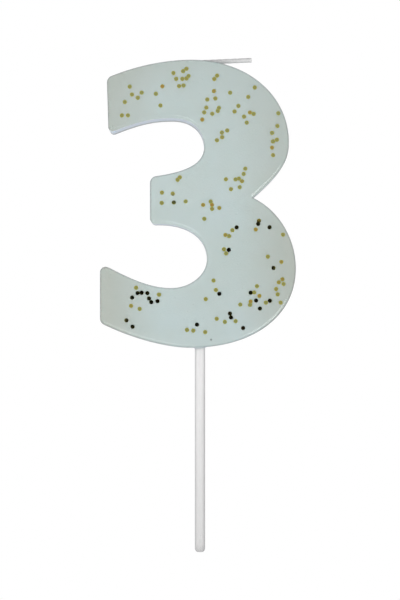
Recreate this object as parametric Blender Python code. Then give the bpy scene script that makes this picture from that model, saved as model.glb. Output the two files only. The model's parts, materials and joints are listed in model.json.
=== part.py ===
"""A number birthday candle: a cast wax "3" with a clear front coat over round sequins, on a plastic stick.

Units are millimetres in the constants and metres in the scene. +Z is up, the front faces -Y, +X is to the
right. The origin is the centre of the stick's flat foot. The numeral is drawn in its own plane, as x from
the stick's axis and h above the numeral's base.
"""
import math
import random

import bmesh
import bpy
from mathutils import Vector
from mathutils.geometry import interpolate_bezier, intersect_point_line

MM = 0.001

# Driving dimensions, in millimetres
STICK_EXPOSED = 74.25      # from the stick's foot to the numeral's base
NUMERAL_HEIGHT = 103.7     # base to crown
NUMERAL_DEPTH = 12.0       # front of the clear coat to the flat back

# The numeral's strokes. Reaches are measured from the stick's axis, and heights from the numeral's base.
CROWN_STROKE = 21.0        # thickness of the top stroke at the crown
BASE_STROKE = 21.5         # thickness of the bottom stroke at its lowest point
UPPER_BOWL_REACH = 32.0    # the bowls' rightmost points
UPPER_BOWL_HEIGHT = 74.0
LOWER_BOWL_REACH = 34.5
LOWER_BOWL_HEIGHT = 28.5
UPPER_BOWL_STROKE = 30.5   # thickness of the bowls at their widest
LOWER_BOWL_STROKE = 32.0
WAIST_REACH = 19.0         # the notch between the bowls
WAIST_HEIGHT = 54.0
UPPER_ARM_REACH = 33.5     # the arms end this far to the left
UPPER_ARM_DROP = 6.5       # the upper arm's top corner is this far below the crown
UPPER_ARM_END = 20.0       # thickness of the arm at its end
UPPER_ARM_LEAN = 0.5       # its bottom corner is this much further in
LOWER_ARM_REACH = 36.0
LOWER_ARM_HEIGHT = 9.0     # the lower arm's bottom corner
LOWER_ARM_END = 21.5
BAR_REACH = 18.0           # the middle bar
BAR_HEIGHT = 44.5
BAR_THICKNESS = 17.0

COAT_THICKNESS = 1.2       # clear front coat
COAT_EDGE_RADIUS = 1.1     # rounding along the coat's front edge
SEQUIN_LAYER = 0.3         # space between wax and coat that holds the sequins
PIECE_GAP = 0.3            # clearance between a piece and the pocket it is cast into

STICK_DIAMETER = 3.7
STICK_IN_WAX = 18.0
STICK_FOOT_FLAT = 2.3      # diameter of the flat at the rounded foot
STICK_FOOT_ROUND = 1.6     # height of the foot's rounding
STICK_TOP_BEVEL = 0.3
SOCKET_FLARE = 0.5         # chamfer at the socket's mouth

WICK_DIAMETER = 1.65
WICK_FREE_LENGTH = 18.7    # from the fold to the cut end
WICK_RISE_DEG = 2.5        # how far the folded wick points above level
WICK_SINK = 0.15           # the fold's centre sits this far below the top of the crown
WICK_END_BEVEL = 0.15
WICK_WELL_REACH = 14.0     # length of the trough in the crown; the crown curves away before its end

SEQUIN_DIAMETER = 1.5
SEQUIN_THICKNESS = 0.1
SEQUIN_SPACING = 2.3       # least distance between two sequins' centres
SEQUIN_MARGIN = 1.3        # least distance from a sequin's centre to the outline
SEQUIN_SEED = 7

# Fineness of the faceted curves
OUTLINE_STEP = 3.0
CORNER_STEPS = 4
EDGE_STEPS = 3
WICK_SIDES = 12
WICK_STEPS = 8
STICK_SIDES = 24
SEQUIN_SIDES = 12
MERGE_DISTANCE = 1e-6      # metres
NEARLY_PARALLEL = 0.05     # sine of the turn under which a stretch of outline is straight
SHARP_EDGE_DEG = 40

# Depths, front to back
FRONT_Y = -NUMERAL_DEPTH / 2
COAT_BACK_Y = FRONT_Y + COAT_THICKNESS
WAX_FRONT_Y = COAT_BACK_Y + SEQUIN_LAYER
BACK_Y = NUMERAL_DEPTH / 2

FOLD_HEIGHT = NUMERAL_HEIGHT - WICK_SINK
FOLD_CLEARANCE = WICK_DIAMETER / 2 + PIECE_GAP   # radius of the space that the wick's fold turns in

# The wick's line inside the wax, as Bezier points: place (x, h) and the handles' reach, all pointing down
WICK_KNOTS = (
    (0.0, FOLD_HEIGHT - FOLD_CLEARANCE, 7.0),
    (16.5, 73.0, 12.0),
    (10.0, 53.0, 8.0),
    (18.5, 30.0, 8.0),
    (10.0, 12.0, 5.0),
)

# Drifts of sequins: centre (x, h), half-width, half-height, count
SEQUIN_DRIFTS = (
    (-24.0, 94.0, 1.5, 4.0, 2),     # upper arm
    (-14.5, 92.0, 1.5, 4.0, 1),
    (-26.0, 84.5, 2.5, 1.0, 1),
    (-4.5,  98.5, 2.5, 3.0, 3),     # crown
    (7.5,   95.5, 3.5, 4.0, 3),
    (21.0,  93.5, 2.0, 1.5, 1),     # upper bowl
    (18.5,  85.0, 3.0, 3.0, 2),
    (3.0,   84.5, 4.0, 1.5, 2),
    (8.0,   78.5, 1.5, 2.5, 1),
    (27.0,  77.5, 1.5, 6.0, 3),
    (13.0,  59.5, 4.0, 3.5, 4),     # waist and middle bar
    (-5.5,  61.0, 2.0, 1.0, 1),
    (-11.0, 54.5, 4.0, 1.0, 1),
    (5.0,   51.0, 3.0, 1.5, 2),
    (2.5,   46.5, 1.0, 0.5, 1),
    (13.0,  43.5, 2.0, 1.5, 1),
    (23.0,  45.5, 2.0, 0.5, 1),     # lower bowl
    (9.0,   36.0, 0.5, 1.0, 1),
    (30.0,  40.0, 0.5, 1.0, 1),
    (29.0,  29.0, 3.0, 2.5, 2),
    (28.5,  21.5, 2.5, 2.0, 2),
    (20.5,  18.0, 3.5, 2.5, 3),
    (7.5,   19.5, 1.0, 2.0, 1),
    (8.5,   11.0, 2.5, 3.5, 3),
    (15.5,   7.0, 1.0, 0.5, 1),
    (-3.5,   7.5, 3.0, 1.5, 2),     # base and lower arm
    (-24.0, 18.5, 2.0, 2.0, 2),
    (-16.0, 17.5, 3.0, 1.0, 2),
    (-25.5, 10.5, 2.0, 2.0, 1),
)


def heading(degrees):
    """The unit vector of a heading in the numeral's plane."""
    angle = math.radians(degrees)
    return Vector((math.cos(angle), math.sin(angle)))


def turn_between(arrive, leave):
    """The signed turn from one heading to another, in degrees; left is positive."""
    return (leave - arrive + 180) % 360 - 180


def rounded_corner(knot):
    """The points of a knot: an arc of its radius, or the knot itself."""
    x, h, arrive, leave, _, radius = knot
    corner = Vector((x, h))
    if radius == 0:
        return [corner]
    turn = turn_between(arrive, leave)
    side = math.copysign(90, turn)
    setback = radius * math.tan(math.radians(abs(turn)) / 2)
    centre = corner - heading(arrive) * setback + heading(arrive + side) * radius
    return [
        centre + heading(arrive - side + turn * step / CORNER_STEPS) * radius
        for step in range(CORNER_STEPS + 1)
    ]


def curve_between(start, start_heading, end, end_heading, fullness):
    """The points strictly between two knots, on the curve tangent to both headings."""
    along = heading(start_heading)
    into = heading(end_heading)
    span = end - start
    parallel = along.cross(into)
    if abs(parallel) < NEARLY_PARALLEL:
        handle_out = start + span / 3
        handle_in = end - span / 3
    else:
        meeting = start + along * (span.cross(into) / parallel)
        handle_out = start.lerp(meeting, fullness)
        handle_in = end.lerp(meeting, fullness)
    count = max(2, math.ceil(span.length / OUTLINE_STEP) + 1)
    points = interpolate_bezier(start, handle_out, handle_in, end, count)
    return [Vector(point) for point in points[1:-1]]


def numeral_knots():
    """The outline's knots, clockwise from the upper arm's tip: place (x, h), the heading on arriving and on
    leaving (0 is +X, 90 is up), the fullness of the curve that leaves (0.55 is close to an ellipse, more is
    squarer) and the radius of the corner, or 0 where the outline runs on or stays sharp."""
    bar_top = BAR_HEIGHT + BAR_THICKNESS
    upper_tip = NUMERAL_HEIGHT - UPPER_ARM_DROP
    return (
        (-UPPER_ARM_REACH, upper_tip, 90, 22, 0.65, 2.5),
        (-3.0, NUMERAL_HEIGHT, 0, 0, 0.57, 0),
        (UPPER_BOWL_REACH, UPPER_BOWL_HEIGHT, -90, -90, 0.8, 0),
        (WAIST_REACH, WAIST_HEIGHT, -139, -25, 0.6, 0),
        (LOWER_BOWL_REACH, LOWER_BOWL_HEIGHT, -90, -90, 0.6, 0),
        (-3.5, 0.0, 180, 180, 0.6, 0),
        (-LOWER_ARM_REACH, LOWER_ARM_HEIGHT, 154, 90, 0, 2.5),
        (-LOWER_ARM_REACH, LOWER_ARM_HEIGHT + LOWER_ARM_END, 90, -28, 0.7, 2),
        (-10.5, BASE_STROKE, 0, 0, 0.55, 0),
        (LOWER_BOWL_REACH - LOWER_BOWL_STROKE, 32.0, 90, 90, 0.6, 0),
        (-BAR_REACH, BAR_HEIGHT, 182, 90, 0, 2),
        (-BAR_REACH, bar_top, 90, 8, 0.7, 2.5),
        (UPPER_BOWL_REACH - UPPER_BOWL_STROKE, 72.5, 90, 90, 0.6, 0),
        (-10.0, NUMERAL_HEIGHT - CROWN_STROKE, 180, 180, 0.75, 0),
        (UPPER_ARM_LEAN - UPPER_ARM_REACH, upper_tip - UPPER_ARM_END, -158, 90, 0, 1.5),
    )


def numeral_outline():
    """The closed outline of the numeral, in its own plane, as (x, h) points."""
    knots = numeral_knots()
    corners = [rounded_corner(knot) for knot in knots]
    points = []
    for index, knot in enumerate(knots):
        following = (index + 1) % len(knots)
        points += corners[index]
        points += curve_between(
            corners[index][-1], knot[3], corners[following][0], knots[following][2], knot[4]
        )
    return points


def place(x, h, y=0.0):
    """A point of the numeral's plane, at depth y, in the scene's metres."""
    return Vector((x, y, h + STICK_EXPOSED)) * MM


def make_material(name, colour, roughness, metallic=0.0, transmission=0.0):
    """A Principled material; the colour is linear RGB."""
    material = bpy.data.materials.new(name)
    material.use_nodes = True
    shader = material.node_tree.nodes["Principled BSDF"]
    shader.inputs["Base Color"].default_value = (*colour, 1.0)
    shader.inputs["Roughness"].default_value = roughness
    shader.inputs["Metallic"].default_value = metallic
    shader.inputs["Transmission Weight"].default_value = transmission
    material.diffuse_color = (*colour, 1.0)
    return material


def mesh_of(name, bm):
    """A mesh that holds a bmesh, with its faces pointing out."""
    bmesh.ops.recalc_face_normals(bm, faces=bm.faces)
    mesh = bpy.data.meshes.new(name)
    bm.to_mesh(mesh)
    bm.free()
    return mesh


def piece_mesh(name, bm, material):
    """The mesh of a piece, with its material, shaded smooth except at its sharp edges."""
    mesh = mesh_of(name, bm)
    mesh.materials.append(material)
    mesh.shade_smooth()
    mesh.set_sharp_from_angle(angle=math.radians(SHARP_EDGE_DEG))
    return mesh


def add_object(name, mesh):
    """An object in the scene that shows a mesh."""
    obj = bpy.data.objects.new(name, mesh)
    bpy.context.scene.collection.objects.link(obj)
    return obj


def numeral_prism(y_front, y_back):
    """The numeral extruded between two depths."""
    bm = bmesh.new()
    front = bm.faces.new([bm.verts.new(place(x, h, y_front)) for x, h in numeral_outline()])
    extruded = bmesh.ops.extrude_face_region(bm, geom=[front], use_keep_orig=True)
    moved = [item for item in extruded["geom"] if isinstance(item, bmesh.types.BMVert)]
    bmesh.ops.translate(bm, verts=moved, vec=(0, (y_back - y_front) * MM, 0))
    return bm


def turned(profile, sides):
    """A solid of revolution about Z; the profile is (radius, z) from the foot up, in millimetres."""
    bm = bmesh.new()
    verts = [bm.verts.new(Vector((radius, 0, z)) * MM) for radius, z in profile]
    edges = [bm.edges.new(pair) for pair in zip(verts, verts[1:])]
    bmesh.ops.spin(
        bm, geom=verts + edges, axis=(0, 0, 1), cent=(0, 0, 0), angle=math.tau, steps=sides, use_merge=True
    )
    bmesh.ops.remove_doubles(bm, verts=bm.verts, dist=MERGE_DISTANCE)
    return bm


def swept(name, knots, radius):
    """A round mesh along the wick's line, closed at both ends, at mid depth."""
    curve = bpy.data.curves.new(name, "CURVE")
    curve.dimensions = "3D"
    curve.bevel_depth = radius * MM
    curve.bevel_resolution = WICK_SIDES // 2 - 2
    curve.use_fill_caps = True
    curve.resolution_u = WICK_STEPS
    curve.render_resolution_u = WICK_STEPS
    spline = curve.splines.new("BEZIER")
    spline.bezier_points.add(len(knots) - 1)
    for point, (x, h, reach) in zip(spline.bezier_points, knots):
        point.co = place(x, h)
        point.handle_left = place(x, h + reach)
        point.handle_right = place(x, h - reach)
    holder = bpy.data.objects.new(name, curve)
    mesh = bpy.data.meshes.new_from_object(holder)
    bpy.data.objects.remove(holder)
    bm = bmesh.new()
    bm.from_mesh(mesh)
    bmesh.ops.remove_doubles(bm, verts=bm.verts, dist=MERGE_DISTANCE)
    return bm


def make_cutter(name, bm):
    """A hidden guide for a Boolean cut."""
    cutter = add_object(name, mesh_of(name, bm))
    cutter.hide_render = True
    cutter.display_type = "WIRE"
    return cutter


def cut(obj, cutter):
    """Take a cutter's shape out of an object."""
    modifier = obj.modifiers.new(cutter.name, "BOOLEAN")
    modifier.operation = "DIFFERENCE"
    modifier.solver = "EXACT"
    modifier.object = cutter


def wick_channel_cutter():
    """The channel that the wick fills, from the fold down through both bowls."""
    bm = swept("channel", WICK_KNOTS, FOLD_CLEARANCE)
    top = max(vert.co.z for vert in bm.verts)
    for vert in bm.verts:
        if top - vert.co.z < MERGE_DISTANCE:
            vert.co.z += FOLD_CLEARANCE * MM
    return make_cutter("cut_wick_channel", bm)


def wick_well_cutter():
    """The shallow trough in the crown that the folded wick lies in."""
    radius = FOLD_CLEARANCE
    profile = [(0, -radius), (radius, -radius), (radius, WICK_WELL_REACH), (0, WICK_WELL_REACH)]
    cutter = make_cutter("cut_wick_well", turned(profile, WICK_SIDES))
    cutter.location = fold_centre()
    cutter.rotation_euler = (0, math.radians(90 - WICK_RISE_DEG), 0)
    return cutter


def stick_socket_cutter():
    """The socket in the numeral's base, flared at its mouth and run out below it."""
    radius = STICK_DIAMETER / 2 + PIECE_GAP
    top = STICK_EXPOSED + STICK_IN_WAX + PIECE_GAP
    run_out = 3.0
    profile = [
        (0, STICK_EXPOSED - run_out),
        (radius + SOCKET_FLARE + run_out, STICK_EXPOSED - run_out),
        (radius, STICK_EXPOSED + SOCKET_FLARE),
        (radius, top),
        (0, top),
    ]
    return make_cutter("cut_stick_socket", turned(profile, STICK_SIDES))


def fold_centre():
    """Where the wick folds over: the hinge's centre."""
    return place(0, FOLD_HEIGHT)


def make_wax_body(material):
    """The opaque wax casting, with its wick channel, wick well and stick socket."""
    body = add_object("wax_body", piece_mesh("wax_body", numeral_prism(WAX_FRONT_Y, BACK_Y), material))
    cut(body, wick_channel_cutter())
    cut(body, wick_well_cutter())
    cut(body, stick_socket_cutter())
    return body


def make_clear_coat(material):
    """The clear coat over the front, rounded along its front edge."""
    bm = numeral_prism(FRONT_Y, COAT_BACK_Y)
    front = {vert for vert in bm.verts if abs(vert.co.y - FRONT_Y * MM) < MERGE_DISTANCE}
    front_edges = [edge for edge in bm.edges if front.issuperset(edge.verts)]
    bmesh.ops.bevel(
        bm, geom=front_edges, offset=COAT_EDGE_RADIUS * MM, segments=EDGE_STEPS, profile=0.5,
        affect="EDGES", clamp_overlap=False,
    )
    return add_object("clear_coat", piece_mesh("clear_coat", bm, material))


def make_stick(material):
    """The stick, with a rounded foot that ends in a small flat."""
    radius = STICK_DIAMETER / 2
    flat = STICK_FOOT_FLAT / 2
    foot = [
        (
            flat + (radius - flat) * math.sin(math.radians(angle)),
            STICK_FOOT_ROUND * (1 - math.cos(math.radians(angle))),
        )
        for angle in range(0, 91, 18)
    ]
    top = STICK_EXPOSED + STICK_IN_WAX
    head = [(radius, top - STICK_TOP_BEVEL), (radius - STICK_TOP_BEVEL, top), (0, top)]
    profile = [(0, 0)] + foot + head
    return add_object("stick", piece_mesh("stick", turned(profile, STICK_SIDES), material))


def make_wick_core(material):
    """The wick inside the wax, up to just under the fold."""
    bm = swept("core", WICK_KNOTS, WICK_DIAMETER / 2)
    return add_object("wick_core", piece_mesh("wick_core", bm, material))


def make_wick_tip(material):
    """The free length of the wick, folded over, with its round root on the hinge's axis."""
    radius = WICK_DIAMETER / 2
    root = [
        (radius * math.sin(math.radians(angle)), -radius * math.cos(math.radians(angle)))
        for angle in range(0, 91, 30)
    ]
    end = [
        (radius, WICK_FREE_LENGTH - WICK_END_BEVEL),
        (radius - WICK_END_BEVEL, WICK_FREE_LENGTH),
        (0, WICK_FREE_LENGTH),
    ]
    tip = add_object("wick_tip", piece_mesh("wick_tip", turned(root + end, WICK_SIDES), material))
    tip.location = fold_centre()
    tip.rotation_euler = (0, math.radians(90 - WICK_RISE_DEG), 0)
    return tip


def inside(point, outline):
    """Whether a point is within the closed outline."""
    crossings = 0
    for start, end in zip(outline, outline[1:] + outline[:1]):
        if (start.y > point.y) != (end.y > point.y):
            crossings += point.x < start.x + (point.y - start.y) * (end.x - start.x) / (end.y - start.y)
    return crossings % 2 == 1


def edge_distance(point, outline):
    """The least distance from a point to the outline."""
    distances = []
    for start, end in zip(outline, outline[1:] + outline[:1]):
        share = intersect_point_line(point, start, end)[1]
        nearest = start.lerp(end, min(max(share, 0.0), 1.0))
        distances.append((point - nearest).length)
    return min(distances)


def sequin_centres():
    """Seeded places for the sequins, drift by drift."""
    draw = random.Random(SEQUIN_SEED)
    outline = numeral_outline()
    centres = []
    for x, h, half_width, half_height, count in SEQUIN_DRIFTS:
        wanted = len(centres) + count
        while len(centres) < wanted:
            across = draw.uniform(-half_width, half_width)
            point = Vector((x + across, h + draw.uniform(-half_height, half_height)))
            apart = all((point - other).length > SEQUIN_SPACING for other in centres)
            if apart and inside(point, outline) and edge_distance(point, outline) > SEQUIN_MARGIN:
                centres.append(point)
    return centres


def make_sequins(material):
    """Thin round sequins, flat against the wax in the layer behind the clear coat."""
    radius = SEQUIN_DIAMETER / 2
    profile = [(0, 0), (radius, 0), (radius, SEQUIN_THICKNESS), (0, SEQUIN_THICKNESS)]
    y_front = COAT_BACK_Y + (SEQUIN_LAYER - SEQUIN_THICKNESS) / 2
    mesh = piece_mesh("sequin", turned(profile, SEQUIN_SIDES), material)
    for number, (x, h) in enumerate(sequin_centres(), start=1):
        sequin = add_object(f"sequin_{number:02d}", mesh)
        sequin.location = place(x, h, y_front)
        sequin.rotation_euler = (math.radians(-90), 0, 0)


def remove_everything():
    """Empty the scene."""
    for obj in list(bpy.data.objects):
        bpy.data.objects.remove(obj, do_unlink=True)


def main():
    remove_everything()
    aqua_wax = make_material("aqua_wax", (0.50, 0.61, 0.59), 0.35)
    clear_gloss = make_material("clear_gloss", (0.95, 0.98, 0.98), 0.08, transmission=0.9)
    gold_foil = make_material("gold_foil", (0.55, 0.40, 0.09), 0.25, metallic=1.0)
    waxed_cotton = make_material("waxed_cotton", (0.80, 0.80, 0.78), 0.55)
    white_plastic = make_material("white_plastic", (0.82, 0.81, 0.81), 0.3)
    make_wax_body(aqua_wax)
    make_clear_coat(clear_gloss)
    make_sequins(gold_foil)
    make_wick_core(waxed_cotton)
    make_wick_tip(waxed_cotton)
    make_stick(white_plastic)


main()
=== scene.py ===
import json
import math
import random

import bpy
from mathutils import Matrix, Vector, noise
from mathutils.geometry import delaunay_2d_cdt, interpolate_bezier


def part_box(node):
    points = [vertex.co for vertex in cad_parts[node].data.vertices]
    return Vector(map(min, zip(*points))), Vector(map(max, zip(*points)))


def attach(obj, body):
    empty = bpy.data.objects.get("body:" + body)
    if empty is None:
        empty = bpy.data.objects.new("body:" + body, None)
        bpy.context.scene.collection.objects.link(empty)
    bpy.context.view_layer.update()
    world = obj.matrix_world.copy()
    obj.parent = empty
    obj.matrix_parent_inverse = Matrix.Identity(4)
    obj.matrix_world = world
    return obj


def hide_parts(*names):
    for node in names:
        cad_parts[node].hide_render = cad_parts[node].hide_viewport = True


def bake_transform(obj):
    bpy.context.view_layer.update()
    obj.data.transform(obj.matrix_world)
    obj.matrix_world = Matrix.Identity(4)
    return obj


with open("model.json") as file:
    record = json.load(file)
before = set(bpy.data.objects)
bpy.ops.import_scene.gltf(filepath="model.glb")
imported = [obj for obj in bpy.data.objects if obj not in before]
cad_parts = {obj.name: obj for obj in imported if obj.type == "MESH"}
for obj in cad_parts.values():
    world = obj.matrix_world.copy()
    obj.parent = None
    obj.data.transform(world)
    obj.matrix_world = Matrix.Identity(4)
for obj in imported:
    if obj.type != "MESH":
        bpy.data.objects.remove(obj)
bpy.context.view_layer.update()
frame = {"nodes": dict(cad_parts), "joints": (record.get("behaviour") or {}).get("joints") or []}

MM = 0.001

# Places taken from the frame, in metres
WAX_LOW, WAX_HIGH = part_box("wax_body")
STICK_LOW, STICK_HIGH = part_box("stick")
COAT_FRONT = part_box("clear_coat")[0].y
WICK_CORE_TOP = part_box("wick_core")[1].z
WICK_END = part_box("wick_tip")[1].x
FOLD = next(Vector(joint["pos_m"]) for joint in frame["joints"] if joint["name"] == "wick_fold")
SEQUIN_NODES = sorted(name for name in frame["nodes"] if name.startswith("sequin_"))

# The candle's own sizes, from here down to the sequins', are in millimetres. Waves are per millimetre.

# The numeral, drawn as in the CAD: x from the stick's axis and h above the numeral's base
NUMERAL_HEIGHT = (WAX_HIGH.z - WAX_LOW.z) / MM
LOWER_ARM_REACH = -WAX_LOW.x / MM
LOWER_BOWL_REACH = WAX_HIGH.x / MM
CROWN_STROKE = 21.0         # thickness of the top stroke at the crown
BASE_STROKE = 21.5          # thickness of the bottom stroke at its lowest point
UPPER_BOWL_REACH = 32.0     # the upper bowl's rightmost point
UPPER_BOWL_HEIGHT = 74.0
LOWER_BOWL_HEIGHT = 28.5
UPPER_BOWL_STROKE = 30.5    # thickness of the bowls at their widest
LOWER_BOWL_STROKE = 32.0
WAIST_REACH = 19.0          # the notch between the bowls
WAIST_HEIGHT = 54.0
UPPER_ARM_REACH = 33.5      # the upper arm ends this far to the left
UPPER_ARM_DROP = 6.5        # its top corner is this far below the crown
UPPER_ARM_END = 20.0        # thickness of the arm at its end
UPPER_ARM_LEAN = 0.5        # its bottom corner is this much further in
LOWER_ARM_HEIGHT = 9.0      # the lower arm's bottom corner
LOWER_ARM_END = 21.5
BAR_REACH = 18.0            # the middle bar
BAR_HEIGHT = 44.5
BAR_THICKNESS = 17.0

OUTLINE_STEP = 0.6          # spacing of the outline's points
OUTLINE_FINE_STEP = 0.3     # the same close to the stick's axis, where the wick and the stick meet the wax
FINE_REACH = 4.5            # half-width of that finer stretch
CORNER_STEPS = 10
NEARLY_PARALLEL = 0.05      # the sine below which two headings count as parallel
SHARPEST_MITRE = 0.4        # keeps the points of sharp corners from moving too far
CURVE_SAMPLES = 600         # each curve is first drawn this finely, then thinned to the spacing above
CAP_SPACING = 1.6           # spacing of the points that fill the front and the back
CAP_ROW_SPACING = CAP_SPACING * 0.866   # rows of near-equilateral triangles
CAP_CLEARANCE = 0.6 * CAP_SPACING       # those points keep this far from the outline

# The cast wax
BACK_EDGE_RADIUS = 0.5
BACK_EDGE_STEPS = 5
BACK_HOLLOW = 0.25          # the poured back sinks this far as it cools
BACK_HOLLOW_REACH = 5.0     # over this distance from the outline
BACK_UNEVENNESS = 0.06
BACK_WAVES = 0.09
WALL_RIPPLE = 0.025
WALL_BROAD_WAVES = 0.12
WALL_FINE_WAVES = 0.5
WALL_SPACING = 0.75         # spacing of the wall's rings, front to back
WALL_FINE_SPACING = 0.25    # the same round the wick and the stick
WALL_FINE_REACH = 3.0       # half-width of that finer band
WALL_LAST_GAP = 0.3         # the last ring but one keeps at least this far from the back edge
STICK_LIP = 0.55            # the wax reaches this far down the stick
STICK_LIP_WIDTH = 0.45      # and fades over about this distance from it
STICK_LIP_REACH = 3.0       # until it stops
PINHOLE = (4.0, 2.9)        # a small air bubble at the wax's front, just above the base, painted as a dark spot of shade

# The clear coat
EDGE_DEPTH = 1.1            # the rounding along the front edge, front to back
EDGE_WIDTH = 1.9            # and across the face
EDGE_STEPS = 10
EDGE_TURN = (0.92, 0.50)    # the normal's share along Y where the edge's painted shade starts and where it is full
WALL_TURN = (-0.02, 0.04)   # the cosines between the wall's normal and the eye where it fades out
COAT_RIPPLE = 0.03
COAT_BROAD_WAVES = 0.07
COAT_FINE_WAVES = 0.2
COAT_FINE_SHARE = 0.4       # of the broad waves' height
COAT_SETTLING = 5.0         # the ripple fades out over this distance from the outline
COAT_GAP = 0.02             # the coat's back stops this far in front of the wax

# The wick and its trough
WICK_RADIUS = 0.825
WICK_SIDES = 36
WICK_STEP = 0.12            # spacing of its rings
WICK_RISE = 2.5             # degrees; the folded wick rises this much to the right
WICK_BEND_RADIUS = 1.0
WICK_BEND_STEPS = 12
WICK_END_BULGE = 0.12
BRAID_LAY = 2.6             # length of one turn of the braid
BRAID_MIDDLE = 0.949        # the braid's middle level, as a share of the wick's radius
BRAID_HEIGHT = 0.042        # and its height above or below that
TROUGH_RADIUS = 1.0
TROUGH_SIDE_SLOPE = 4.0     # its sides rise this steeply beyond that radius
TROUGH_LIP = 0.35           # the height over which its lip is rounded
TROUGH_REACH = 12.0         # half-width of the stretch of crown that it can touch

# The stick
STICK_RADIUS = (STICK_HIGH.x - STICK_LOW.x) / 2 / MM
STICK_LENGTH = (STICK_HIGH.z - STICK_LOW.z) / MM
STICK_SIDES = 48
STICK_STEP = 1.0            # spacing of its rings
STICK_FOOT_FLAT = 1.15      # radius of the flat at its foot
STICK_FOOT_HEIGHT = 1.6     # the rounding above that flat
STICK_FOOT_STEPS = 10
STICK_TOP_TAPER = 0.3
STICK_UNEVENNESS = 0.006    # as a share of its radius
STICK_WAVES = 0.3

# Sequins
SEQUIN_COUNT = 130          # in all; the frame holds some of them as solids
SEQUIN_DRIFT = 6.0          # each further one lies at most this far from one in the frame
SEQUIN_RADIUS = 0.75
SEQUIN_THICKNESS = 0.08
SEQUIN_RINGS = (0.0, 0.4, 0.7, 1.0)     # the rings of points across one face, as shares of the radius
SEQUIN_SIDES = 24
SEQUIN_SPACING = 1.15       # least distance between two sequins' centres
SEQUIN_MARGIN = 0.9         # least distance from a sequin's centre to the outline
SEQUIN_SEED = 11
FLAT_SHARE = 0.45           # the share of sequins that lie flat
FLAT_TILT = 1.0             # degrees
LEANING_TILT = (4.5, 6.5)
LEANING_SPREAD = 60         # degrees to each side of straight outwards
SEQUIN_CUP = 0.003          # how far a rim may stand in front of or behind its centre
SEQUIN_LEVELS = 5           # sequins near each other lie at different depths in the coat
SEQUIN_FIRST_DEPTH = 0.16   # the lowest level is this far in front of the wax
SEQUIN_LEVEL_DEPTH = 0.19   # and the next ones this far apart
SEQUIN_NEAR = 1.8           # centres closer than this count as near

# The photograph's view, in metres: straight at the front, from half a metre
VIEW_DISTANCE = 0.5
VIEW_HEIGHT = 0.09145
VIEW_FRAME_HEIGHT = 0.216   # the height that the picture takes in at that distance
SENSOR = 36.0               # millimetres
AXIS_HEIGHT = (VIEW_HEIGHT - WAX_LOW.z) / MM    # the view's height above the numeral's base

# The studio, in metres
ROOM_BRIGHTNESS = 0.41
FLOOR_BRIGHTNESS = 1.0
FLOOR_HALF_WIDTH = 2.5
FLOOR_DROP = 0.0005         # the floor lies this far below the stick's foot
CARD_HALF_WIDTH = 0.065
CARD_HALF_HEIGHT = 0.055
CARD_RISE = 0.018           # the card's centre is this far above the camera
CARD_BEHIND = 0.01          # and it stands this far beyond the viewing distance
BACKDROP_GLOW = 0.25
SOFT_BOX_EDGE = (0.955, 0.98)       # cosines off the box's middle where it fades out and where it is full
SOFT_BOXES = (              # direction from the candle and brightness
    ((0.46, -0.76, -0.46), 4.5),
    ((-0.29, -0.80, -0.53), 2.0),
)
LIGHTS = (                  # name, place, where it aims, size and watts
    ("front", (-0.025, -0.22, 0.112), (-0.025, 0, 0.112), 0.14, 0.26),
    ("key", (-0.7, -0.9, 1.0), (0, 0, 0.12), 0.9, 3),
    ("back", (0.3, 1.1, 0.9), (0, 0, 0.1), 0.8, 5),
)

# Colours, as linear red, green and blue
WHITE = (1.0, 1.0, 1.0, 1.0)
WAX_CLOUDED = (0.548, 0.603, 0.594)
WAX_CLEAR = (0.566, 0.632, 0.644)
WAX_OUTER_SHADE = (0.498, 0.516, 0.482)       # painted shade towards the sides and the crown
# painted bluish sheen on the wall where it is seen edge-on
WAX_EDGE_ON_SHEEN = (0.505, 0.567, 0.650)
WAX_BACK_EDGE_SHADE = (0.34, 0.36, 0.37)    # painted shade on the wall close to the back, seen at a grazing angle
# painted shade of the pinhole
WAX_PINHOLE_SHADE = (0.20, 0.22, 0.22)
# painted shade in the bottoms of a few pits
WAX_PIT_SHADE = (0.30, 0.33, 0.33)
COAT_TINT = (0.948, 0.959, 0.954)
# painted shade along the coat's rounded edge
COAT_EDGE_SHADE = (0.50, 0.50, 0.52)
FOIL_OLIVE = (0.66, 0.69, 0.29, 1.0)
FOIL_GOLD = (0.75, 0.68, 0.24, 1.0)
FOIL_AMBER = (0.92, 0.54, 0.17, 1.0)
# painted highlight towards each sequin's rim
FOIL_RIM_HIGHLIGHT = (1.0, 0.94, 0.12)
COTTON_DARK = (0.60, 0.60, 0.60)
COTTON_PALE = (0.70, 0.70, 0.70)
# painted shade on the wick's sides
COTTON_EDGE_SHADE = (0.36, 0.36, 0.36)
PLASTIC_DARK = (0.68, 0.675, 0.675)
PLASTIC_PALE = (0.76, 0.755, 0.755)
PLASTIC_LOW_SHADE = (0.60, 0.60, 0.595)       # painted shade towards the foot
# painted shade at the foot
PLASTIC_FOOT_SHADE = (0.44, 0.44, 0.44)
# painted shade on the stick's sides
PLASTIC_EDGE_SHADE = (0.42, 0.42, 0.43)
CARD_BLACK = (0.004, 0.004, 0.004, 1.0)


def heading(degrees):
    """The unit vector of a heading in the numeral's plane."""
    angle = math.radians(degrees)
    return Vector((math.cos(angle), math.sin(angle)))


def rounded_corner(knot):
    """The points of a knot: an arc of its radius, or the knot itself."""
    x, h, arrive, leave, _, radius = knot
    corner = Vector((x, h))
    if radius == 0:
        return [corner]
    turn = (leave - arrive + 180) % 360 - 180
    side = math.copysign(90, turn)
    setback = radius * math.tan(math.radians(abs(turn)) / 2)
    centre = corner - heading(arrive) * setback + heading(arrive + side) * radius
    return [
        centre + heading(arrive - side + turn * step / CORNER_STEPS) * radius
        for step in range(CORNER_STEPS + 1)
    ]


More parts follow.
